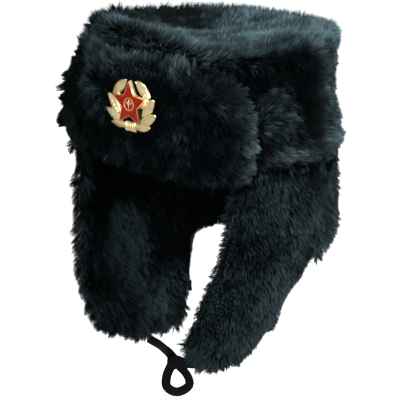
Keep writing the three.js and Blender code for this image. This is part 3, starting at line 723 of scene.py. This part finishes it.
# %% Comb the front flap
BADGE_PLACE = Vector((11.368, -131.868, -16.5)) * MM
FLAP_TURN = math.radians(47)  # how far round the head each end of the front flap reaches
FLAP_HALF_HEIGHT = 0.045


def comb_front(places, normals):
    turn = np.arctan2(places[:, 0], -places[:, 1]) / FLAP_TURN
    height = (places[:, 2] - (-0.026 - 0.012 * turn)) / FLAP_HALF_HEIGHT
    sideways = unit(np.cross(normals, [0, 0, 1.0]))
    up = rise(0.3, 0.7, height)
    comb = DOWN * (1 - 2 * up)[:, None] - sideways * (0.9 * turn * np.abs(turn))[:, None]

    edge = np.maximum(rise(0.6, 1.0, np.abs(height)), rise(0.75, 1.0, np.abs(turn)))
    badge_far = np.linalg.norm((places - np.array(BADGE_PLACE)) * [1, 0.3, 1.2], axis=1)
    pressed = rise(0.036, 0.026, badge_far)
    brow = rise(0.45, 0.85, height) * rise(0.62, 0.35, np.abs(turn))
    low_corner = 1.4 * patch(places, (-66, -106, -64), 28)
    high_corner = rise(-0.7, -1.0, turn) * rise(0.0, 0.3, height)
    left_end = rise(0.7, 1.0, turn)
    length = PILE + 1.5 * edge + 4 * brow - 5 * low_corner - 3 * high_corner - 4 * left_end
    length = length * (1 - 0.55 * pressed) * MM
    lift = (0.8 + 0.1 * edge) * (1 - 0.75 * pressed)

    # Painted light and shade: the pile is made lighter at the edges, on the wearer's left end and in two lit
    # tufts on the wearer's right of the badge, and a little lighter towards the bottom. The edge light is left
    # out of the upper corner on the wearer's left, which lies in shade.
    tuft_highlight = np.maximum(patch(places, (-24, -127, 2), 24), patch(places, (-22, -132, -22), 16))
    side = rise(0.75, 1.0, turn) * rise(1.0, 0.5, height)
    edge_shaded = rise(0.2, 0.5, height) * rise(0.2, 0.5, turn)
    light = 0.085 + 0.035 * rise(-0.1, -0.7, height) + 0.09 * edge * (1 - edge_shaded)
    light = light + 0.26 * brow + 0.1 * side + 0.22 * tuft_highlight
    wild = 0.8 + 0.3 * edge + 0.8 * rise(-0.5, -0.8, turn)
    return comb, length, lift, light, wild


FRONT = {"weight": bare_where_covered, "comb": comb_front, "wisp": 3, "lock": 9, "width": 0.52, "sway": 0.7}
fur_piece("front_flap", [("front_flap_fur", 70000, FRONT, 21)])

# %% [markdown]
# The ear and neck flaps hang, so their pile runs down and a little forward. The left flap's
# outside is plush: short, even and brushed, with a furrow down its front, where the cloth folds
# and painted shade darkens it. At its tip hangs a tongue of long hair. Elsewhere the pile is longer
# and wilder. The insides are painted dark as shade, and the right flap's inside gets one broad
# patch of painted light.


# %% Comb the ear flaps and the neck flap
FURROW = [(79, -78, -86), (79, -78, -115), (75, -77, -143), (65, -81, -172), (48, -87, -196), (39, -83, -223)]


def beside(places, line, reach):
    """1 on a line through points in millimetres, and 0 from its reach on."""
    spots = places / MM
    far = np.full(len(places), np.inf)
    for a, b in zip(np.array(line, float), np.array(line[1:], float)):
        share = np.clip(((spots - a) @ (b - a)) / ((b - a) @ (b - a)), 0, 1)
        far = np.minimum(far, np.linalg.norm(spots - a - share[:, None] * (b - a), axis=1))
    return rise(reach, 0.3 * reach, far)


def comb_flap(places, normals):
    x, y, z = (places / MM).T
    outer = rise(-0.3, 0.45, (normals * outwards(places)).sum(1))
    left = rise(-20, 20, x)
    furrow = beside(places, FURROW, 10)
    plush = left * outer * (1 - furrow)
    inside = (1 - left) * (1 - outer)
    tongue = patch(places, (20, -86, -230), 38)
    rear = patch(places, (93, 46, -150), 30)
    comb = DOWN + np.array([0, -0.25, 0]) + tongue[:, None] * np.array([-1.7, -1.0, -0.1])
    comb = comb + rear[:, None] * np.array([0.9, 0.6, 0])

    tip = rise(-226, -244, z)
    fringe = left * rise(-62, -74, y) * rise(-115, -135, z) * (1 - tongue)
    fringe *= 3.5 + 3 * rise(-165, -182, z)
    trim = np.maximum(patch(places, (80, -8, -203), 28), patch(places, (-50, 52, -200), 40))
    trim = np.maximum(trim, 2 * patch(places, (-83, -74, -74), 26))
    low = patch(places, (69, -45, -226), 26)
    length = PILE - 4.5 * plush - 2.5 * inside + 12 * tongue + 3 * tip - fringe
    length = length + 9 * rear - 3 * trim + 3 * low

    # Painted light and shade: the outsides are lit more on the left flap and towards the tips, and less near
    # the top. The furrow's fold gets painted shade. The insides are dark, with a broad patch of painted light
    # on the right flap's inside and more painted light towards the front and the tips.
    front = rise(-50, -75, y)
    lit = 0.15 + 0.11 * left + 0.22 * rise(-165, -195, z) - 0.06 * rise(-150, -125, z)
    lit = lit * (1 - 0.8 * furrow)
    lining = 0.04 + 0.86 * patch(places, (-78, -14, -172), 50) + 0.14 * front + 0.18 * rise(-190, -225, z)
    light = 0.055 + lit * outer + lining * inside + 0.22 * left * (1 - outer) * front
    return comb, length * MM, 0.75 + 0.2 * plush, light, 0.7 - 0.55 * plush - 0.25 * inside


FLAP = {"weight": bare_where_covered, "comb": comb_flap, "wisp": 2.2, "lock": 7, "width": 0.47, "sway": 0.4}
fur_piece("ear_flap_left", [("ear_flap_left_fur", 84000, FLAP, 31)])
fur_piece("ear_flap_right", [("ear_flap_right_fur", 80000, FLAP, 41)])
fur_piece("neck_flap", [("neck_flap_fur", 36000, {**FLAP, "long": 0.75}, 51)])

# %% [markdown]
# Inside, the cap is lined with quilted cloth: a grid of slanting stitch lines with soft wadding
# between them. The pillows are real relief, so they are pushed out of a finely divided copy of
# the cap's wall, and the stitches are pulled in along the same lines. The weave of the cloth is
# far finer and stays in the finish.

# %% Quilt the lining
QUILT = 26 * MM  # how far apart the stitch lines are
HEAD_ROUND = 0.092  # the head hollow's mean radius, which turns an angle into a way round


def quilt_lines(places):
    """How far into a pillow each place is: 0 on a stitch line, 1 in the middle."""
    turn = np.arctan2(places[:, 0], -places[:, 1]) * HEAD_ROUND
    flat = rise(-0.012, 0.0, places[:, 2])
    level = np.where(flat > 0.5, np.hypot(places[:, 0], places[:, 1]), places[:, 2] + 0.1)
    a, b = (turn + level) * math.pi / QUILT, (turn - level) * math.pi / QUILT
    return np.sqrt(np.abs(np.sin(a) * np.sin(b)))


wall = put("wall_rough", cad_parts["crown_wall"].data.copy())
for kind in ("CATMULL_CLARK", "SIMPLE"):
    finer = wall.modifiers.new("finer", "SUBSURF")
    finer.subdivision_type, finer.levels, finer.render_levels = kind, 1, 1
lining_mesh = bpy.data.meshes.new_from_object(wall.evaluated_get(bpy.context.evaluated_depsgraph_get()))
bpy.data.objects.remove(wall)
lining_places, lining_normals = places_and_normals(lining_mesh)
inside = rise(0.1, -0.3, (lining_normals * unit(lining_places + [0, 0, 0.06])).sum(1))
puff = 1.4 * MM * inside * (quilt_lines(lining_places) - 0.4)
settle(lining_mesh, lining_places + lining_normals * puff[:, None])
lining_mesh.materials.clear()

quilted = Paint("quilted_cloth", Sheen_Weight=0.15)
grain = quilted.noise(2500, 2)
worn = quilted.noise(35, 3)
black, worn_black = (0.006, 0.007, 0.009, 1), (0.017, 0.019, 0.023, 1)
quilted.wear(Base_Color=quilted.mix(worn.between(0.3, 0.75), black, worn_black))
quilted.wear(Roughness=0.5 + 0.2 * grain)
quilted.bump(grain, 0.2 * MM, 0.5)
lining = dress("quilted_lining", lining_mesh, quilted, "quilted_lining", "crown_wall")
print("lining:", triangles(lining_mesh), "triangles")

# %% [markdown]
# The badge is stamped from thin metal, so its leaves are plump and ribbed but rounded at every
# edge. Each leaf is lofted: a row of cross-sections from its foot to its tip, each with a raised
# middle rib and a curved top. One function makes all of them, large in the wreath and tiny on
# the star.

# %% Loft a stamped leaf
FACING = math.radians(-11)  # the badge is turned this far, a little to the wearer's right
BACK = -0.4  # the height of the badge's flat back, in millimetres
badge_out = Vector((math.sin(FACING), -math.cos(FACING), 0))
badge_across = Vector((0, 0, 1)).cross(badge_out)
badge_matrix = Matrix(((*badge_across,), (0, 0, 1), (*badge_out,))).transposed()


def on_badge(points):
    """Points in the badge's own frame, in millimetres, to places on the hat."""
    turned = np.asarray(points, float) @ np.array(badge_matrix).T
    return turned * MM + np.array(BADGE_PLACE)


def loft(rings, closed=True):
    """Points and faces through rings of points, with a face on each end if it is closed."""
    count, points = len(rings[0]), [p for ring in rings for p in ring]
    faces = [
        [r * count + i, r * count + (i + 1) % count, (r + 1) * count + (i + 1) % count, (r + 1) * count + i]
        for r in range(len(rings) - 1)
        for i in range(count)
    ]
    if closed:
        faces += [list(range(count))[::-1], list(range(len(points) - count, len(points)))]
    return points, faces


def leaf(x, y, angle, length, width, high, base):
    """A plump leaf with a middle rib and slanting side ribs."""
    rings = []
    for s in np.linspace(0.0, 1.0, 25):
        half = width / 2 * max(0.06, math.sin(math.pi * min(1, s * 0.92 + 0.06)) ** 0.75)
        ring = []
        for t in np.linspace(-1, 1, 15):
            dome = high * (1 - 0.75 * t * t) * (0.35 + 0.65 * math.sin(math.pi * (0.08 + 0.84 * s)))
            groove = 0.1 * high * math.exp(-(((abs(t) - 0.3) / 0.14) ** 2))
            rib = 0.3 * high * math.exp(-((t / 0.13) ** 2)) - groove
            vein = 0.2 * high * math.cos(11 * math.pi * (s - 0.3 * abs(t)))
            vein = vein * (1 - abs(t)) * min(1, 4 * abs(t))
            ring.append(((s - 0.5) * length, t * half, base + dome + rib + vein))
        ring += [((s - 0.5) * length, way * half * 0.9, base + BACK) for way in (1, -1)]
        rings.append(ring)
    points, faces = loft(rings)
    c, d = math.cos(angle), math.sin(angle)
    return [(x + c * u - d * v, y + d * u + c * v, w) for u, v, w in points], faces


def gather(shapes):
    """Several shapes as one."""
    points, faces = [], []
    for shape_points, shape_faces in shapes:
        faces += [[len(points) + i for i in face] for face in shape_faces]
        points += list(shape_points)
    return points, faces


def badge_piece(name, shapes, paint, slot, *nodes):
    points, faces = gather(shapes)
    mesh = mesh_of(name, on_badge(points), faces)
    dress(name, mesh, paint, slot, *nodes)
    print(name + ":", triangles(mesh), "triangles")


print("badge faces", [round(v, 3) for v in badge_out])

# %% [markdown]
# The metal is a pale, warm gold with a soft shine. Stamped brass is never quite even: it keeps
# fine grain from the die, and it darkens where fingers don't reach. The enamel was poured into
# the star's bed and is glossy, with a red that runs towards orange.

# %% Paint the gold and the enamel
gold = Paint("pale_gold", Metallic=1.0)
die_grain = gold.noise(1400, 3)
tarnish = gold.noise(160, 3)
bright_gold, dull_gold = (1.0, 0.81, 0.48, 1), (0.86, 0.64, 0.32, 1)
gold.wear(Base_Color=gold.mix(tarnish.between(0.35, 0.75), bright_gold, dull_gold))
gold.wear(Roughness=0.24 + 0.16 * die_grain)
gold.bump(die_grain, 0.06 * MM, 0.35)

enamel = Paint("red_enamel", Specular_IOR_Level=0.1, Coat_Weight=0.1, Coat_Roughness=0.06)
depth = enamel.noise(220, 2)
deep_red, orange_red = (0.7, 0.015, 0.0015, 1), (0.88, 0.05, 0.003, 1)
enamel.wear(Base_Color=enamel.mix(depth.between(0.3, 0.7), deep_red, orange_red))
enamel.wear(Roughness=0.18 + 0.12 * enamel.noise(1200, 2))
print("badge finishes:", gold.material.name, enamel.material.name)

# %% [markdown]
# Five leaves on each side make the wreath, and a bundle of stalks ties it below. The star is one
# lofted ring of corners: it climbs from the back to a thin raised edge and drops into a bed. The
# enamel fills the bed as a piece of its own. On it lies a small generic sprig in a ring.


# %% Build the wreath, the star and its sprig
NOTCH = 0.49  # how far out the star's inner corners are, next to its points


def star_loop(radius, height):
    """The ten corners of a star, from the top one round."""
    loop = []
    for i in range(10):
        r = radius * (NOTCH if i % 2 else 1)
        t = math.pi / 2 + i * math.pi / 5
        loop.append((r * math.cos(t), r * math.sin(t), height))
    return loop


def around(count):
    """Angles spread evenly over a whole turn."""
    return np.linspace(0, 2 * math.pi, count, endpoint=False)


def circle(radius, height, count):
    return [(radius * math.cos(a), radius * math.sin(a), height) for a in around(count)]


LEAVES = [  # middle across and up, way it points in degrees, length, width, height, foot
    (11.6, 11.7, 139, 17.5, 8.4, 2.6, 0.0),
    (14.2, 4.4, 112, 10, 5, 2.0, 0.0),
    (17.3, -1.2, 52, 17.5, 8.6, 2.7, 0.5),
    (17.2, -9.8, 28, 17.5, 8.2, 2.6, 0.9),
    (11.9, -16.0, 4, 15.5, 7, 2.4, 1.2),
]
wreath = []
for side in (-1, 1):
    for x, y, points_to, length, width, high, foot in LEAVES:
        way = math.radians(points_to if side > 0 else 180 - points_to)
        wreath.append(leaf(side * x, y, way, length, width, high, foot))

STALK = 1.67  # how far apart the stalks of the bundle are
bundle = []
for x in np.linspace(-5, 5, 41):
    high = 4.3 * math.sqrt(1 - (x / 7) ** 2) * (0.8 + 0.2 * math.cos(x * 2 * math.pi / STALK))
    half = 3.9 + 0.5 * abs(x) / 5
    bundle.append([(x, -17 + half * math.cos(a), max(BACK, high * math.sin(a))) for a in around(24)])
bridge = [[(x, y, z) for y, z in ((-2.5, BACK), (2.5, BACK), (2.5, 0.6), (-2.5, 0.6))] for x in (-20, 20)]
STAR_EDGE = ((17.9, BACK), (17.8, 0.6), (17.4, 3.5), (17.2, 3.8), (16.9, 3.8), (16.7, 3.3), (16.7, 1.6))
edges = [star_loop(radius, height) for radius, height in STAR_EDGE]
pin = [circle(0.9, height, 12) for height in (-12, 0)]
cast = [loft(rings) for rings in (bundle, bridge, edges, pin)]
badge_piece("badge_wreath_metal", [*wreath, *cast], gold, "badge_metal", "badge_wreath")

STAR_POOL = ((16.6, 1.7), (16.6, 3.1), (16.2, 3.35), (10, 3.45), (1, 3.5))
pool = [star_loop(radius, height) for radius, height in STAR_POOL]
badge_piece("badge_star_enamel", [loft(pool)], enamel, "badge_enamel", "badge_star")

hoop = []
for a in np.linspace(0, 2 * math.pi, 13):
    hoop.append(circle(4.65 + 0.35 * math.cos(a), 3.55 + 0.35 * math.sin(a), 48))
sprig = [
    leaf(1.9 * math.cos(a), -0.4 + 2.1 * math.sin(a), a, 3.4, 1.5, 0.5, 3.6)
    for a in (0.6, math.pi / 2, math.pi - 0.6)
]
stem = [
    [(w * math.cos(a), y, 3.7 + w * math.sin(a)) for a in around(8)] for y, w in ((-4.2, 0.4), (0.5, 0.3))
]
badge_piece("badge_sprig", [loft(hoop, closed=False), *sprig, loft(stem)], gold, "badge_metal", "badge_emblem")

# %% [markdown]
# The tie is flat black ribbon. Its two ends are sewn into the tips of the ear flaps, and it is
# tied once under the chin, with a loop left hanging. A flat strip would show no thickness, so
# the cross-section is an oval as wide as the ribbon, swept along its route. The ribbon turns a
# little on its way, as a tied ribbon does. The routes are the same points as the solids follow.

# %% Lay the ribbon
RIBBON_WIDE, RIBBON_THICK = 8 * MM, 1.2 * MM
TIE_TURN = math.radians(30)  # the knot is turned this far towards the wearer's left
knot_place = Vector((3, -63, -250)) * MM
tie_facing = Vector((math.sin(TIE_TURN), -math.cos(TIE_TURN), 0))
tie_across = Vector((0, 0, 1)).cross(tie_facing)
tie_front = Vector((0.48, -0.832, 0.276))  # the side that the flat ribbon turns to the onlooker
# The routes' points lie so far across, out and up from the knot, in millimetres.
RIGHT_ROUTE = [(-25, -84, -12), (-17, -66, -9), (-10, -40, -3), (-4, -14, 3), (0, 0, 4)]
LEFT_ROUTE = [(9, 5, 2), (17, 10, 3), (26, 14, 6)]
LOOP_ROUTE = [(-1, 1.5, 0), (-5.5, 2, -11), (-5.5, 1.5, -21), (3, 0, -26.5)]
LOOP_ROUTE += [(13, -1.5, -21), (11.5, -2, -12), (1, -1.5, 0)]
ROUTE_STEP = 2.5 * MM


def ribbon_route(steps):
    """A smooth route through steps from the knot: across, out and up."""
    knots = [knot_place + (tie_across * a + tie_facing * o + Vector((0, 0, u))) * MM for a, o, u in steps]
    knots = [2 * knots[0] - knots[1], *knots, 2 * knots[-1] - knots[-2]]
    route = []
    for a, b, c, d in zip(knots, knots[1:], knots[2:], knots[3:]):
        near = [0.0]
        for p, q in ((a, b), (b, c), (c, d)):
            near.append(near[-1] + (q - p).length ** 0.5)
        t0, t1, t2, t3 = near
        for share in np.linspace(0, 1, max(4, int((c - b).length / ROUTE_STEP)), endpoint=False):
            t = t1 + (t2 - t1) * share
            ab, bc, cd = (
                p.lerp(q, (t - start) / (end - start))
                for p, q, start, end in ((a, b, t0, t1), (b, c, t1, t2), (c, d, t2, t3))
            )
            abc, bcd = ab.lerp(bc, (t - t0) / (t2 - t0)), bc.lerp(cd, (t - t1) / (t3 - t1))
            route.append(abc.lerp(bcd, (t - t1) / (t2 - t1)))
    return [*route, knots[-2]]


def sweep_ribbon(name, route, twist, *nodes):
    """A ribbon along a route, turned by twist radians from its start to its end."""
    rings, count = [], 16
    for i, place in enumerate(route):
        along = (route[min(i + 1, len(route) - 1)] - route[max(i - 1, 0)]).normalized()
        side = along.cross(tie_front).normalized()
        turn = twist * i / len(route)
        turned = side * math.cos(turn) + side.cross(along) * math.sin(turn)
        flat = turned.cross(along)
        cup = 0.5 * MM * math.sin(i * 0.35)
        ring = []
        for a in around(count):
            c, s = math.cos(a), math.sin(a)
            x = math.copysign(abs(c) ** 0.5, c) * RIBBON_WIDE / 2
            z = math.copysign(abs(s) ** 0.8, s) * RIBBON_THICK / 2 + cup * (2 * x / RIBBON_WIDE) ** 2
            ring.append(place + turned * x + flat * z)
        rings.append(ring)
    points, faces = loft([[tuple(p) for p in ring] for ring in rings])
    mesh = mesh_of(name, points, faces)
    corners = [i for face in faces for i in face]
    sideways = np.array([i % count for i in corners]) / count
    up = np.array([i // count for i in corners]) / len(rings)
    wraps = [len({i % count for i in face} & {0, count - 1}) == 2 for face in faces for _ in face]
    sideways = np.where(np.array(wraps) & (sideways == 0), 1.0, sideways)
    lay_map(mesh, np.stack([sideways, up], 1) * 0.9 + 0.05)
    return dress(name, mesh, woven, "tie_ribbon", *nodes)


woven = Paint("woven_ribbon", Specular_IOR_Level=0.1)
around_way, along_way, _ = woven.split(woven.node("UVMap", {"uv_map": "OFBake"}))
ribs = (along_way * 620).waves() * 0.5 + 0.5
threads = (around_way * 210).waves() * 0.5 + 0.5
fibres = ribs * 0.6 + threads * 0.25 + 0.3 * woven.noise(1500, 3)
deep_black, thread_black = (0.0015, 0.0016, 0.002, 1), (0.0085, 0.009, 0.011, 1)
woven.wear(Base_Color=woven.mix(fibres.between(0.2, 0.9), deep_black, thread_black))
woven.wear(Roughness=0.72 - 0.2 * ribs)
woven.bump(fibres, 0.25 * MM, 0.7)
print("ribbon:", RIBBON_WIDE, "m wide")

# %% [markdown]
# The knot is drawn up tight from the same ribbon. Modelling its real path would hide most of the
# work inside it, so it is a lumpy core with two turns of ribbon laid round it at a slant. Then
# the tie and the loop are swept along their routes, and their lengths are printed.


# %% Tie the knot and hang the loop
def wrap(radius, height, tilt, phase):
    """One turn of ribbon round the knot."""
    rings = []
    for t in np.linspace(0, 2 * math.pi, 29):
        way = Vector((math.cos(t + phase), math.sin(t + phase), 0))
        lift = height + tilt * math.sin(t)
        centre = Vector((way.x * radius * 1.1, way.y * radius * 0.85, lift))
        ring = []
        for a in around(14):
            up = 2.6 * math.copysign(abs(math.sin(a)) ** 0.7, math.sin(a))
            ring.append(tuple(centre + way * (0.8 * math.cos(a)) + Vector((0, 0, up))))
        rings.append(ring)
    return loft(rings)


def lumpy_core():
    """The middle of the knot, uneven as pulled cloth is."""
    rings = []
    for i in range(1, 16):
        v = math.pi * i / 16
        ring = []
        for a in around(20):
            lump = 1 + 0.08 * math.cos(5 * a + 3 * v)
            across, out = 4.3 * math.sin(v) * math.cos(a) * lump, 3.4 * math.sin(v) * math.sin(a) * lump
            ring.append((across, out, 5.2 * math.cos(v)))
        rings.append(ring)
    return loft(rings)


knot_points, knot_faces = gather([lumpy_core(), wrap(4.2, 0.6, 1.8, 0.4), wrap(3.9, -2.2, -1.2, 2.0)])
knot_turn = np.array(Matrix.Rotation(TIE_TURN, 3, "Z"))
knot_spots = np.array(knot_points) @ knot_turn.T * MM + np.array(knot_place)
knot_mesh = mesh_of("tie_knot_ribbon", knot_spots, knot_faces)
knot = dress("tie_knot_ribbon", knot_mesh, woven, "tie_ribbon", "tie_knot")

tie_route = [*ribbon_route(RIGHT_ROUTE)[:-1], *ribbon_route([RIGHT_ROUTE[-1], *LEFT_ROUTE])]
tie = sweep_ribbon("tie_ribbon_tied", tie_route, 0.4, "tie_ribbon_right", "tie_ribbon_left")
loop_route = ribbon_route(LOOP_ROUTE)
loop = sweep_ribbon("tie_loop_ribbon", loop_route, 0.5, "tie_loop")


def length_of(route):
    return sum((b - a).length for a, b in zip(route, route[1:]))


length_of(tie_route)
length_of(loop_route)
print("tie", round(length_of(tie_route), 3), "m, loop", round(length_of(loop_route), 3), "m")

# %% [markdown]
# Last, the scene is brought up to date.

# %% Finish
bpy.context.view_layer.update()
